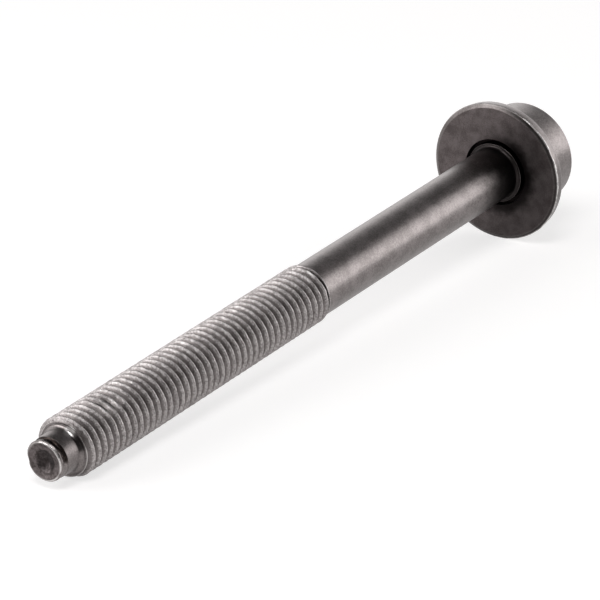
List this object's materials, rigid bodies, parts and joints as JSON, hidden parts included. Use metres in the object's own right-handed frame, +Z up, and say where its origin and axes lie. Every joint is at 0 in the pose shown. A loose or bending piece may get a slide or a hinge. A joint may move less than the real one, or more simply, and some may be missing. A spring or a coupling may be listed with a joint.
{
  "type": "cylinder head bolt",
  "caption": "Long steel bolt lying on a bench: round head with a lobed socket, broad flange, plain shank, right-hand thread and a pilot point.",
  "frame": {"origin": "on the surface that the bolt lies on, below the middle of the bolt", "axes": "+X from the pilot point towards the head, +Z up; the bolt's own axis leans about 3.5 degrees, because it lies on the flange and on the end of the thread"},
  "size_m": [0.16, 0.029, 0.0289],
  "materials": {
    "phosphated_steel": "dark grey phosphate coating, satin and lightly oiled"
  },
  "bodies": {
    "root": {"bolt": "phosphated_steel"}
  },
  "joints": []
}
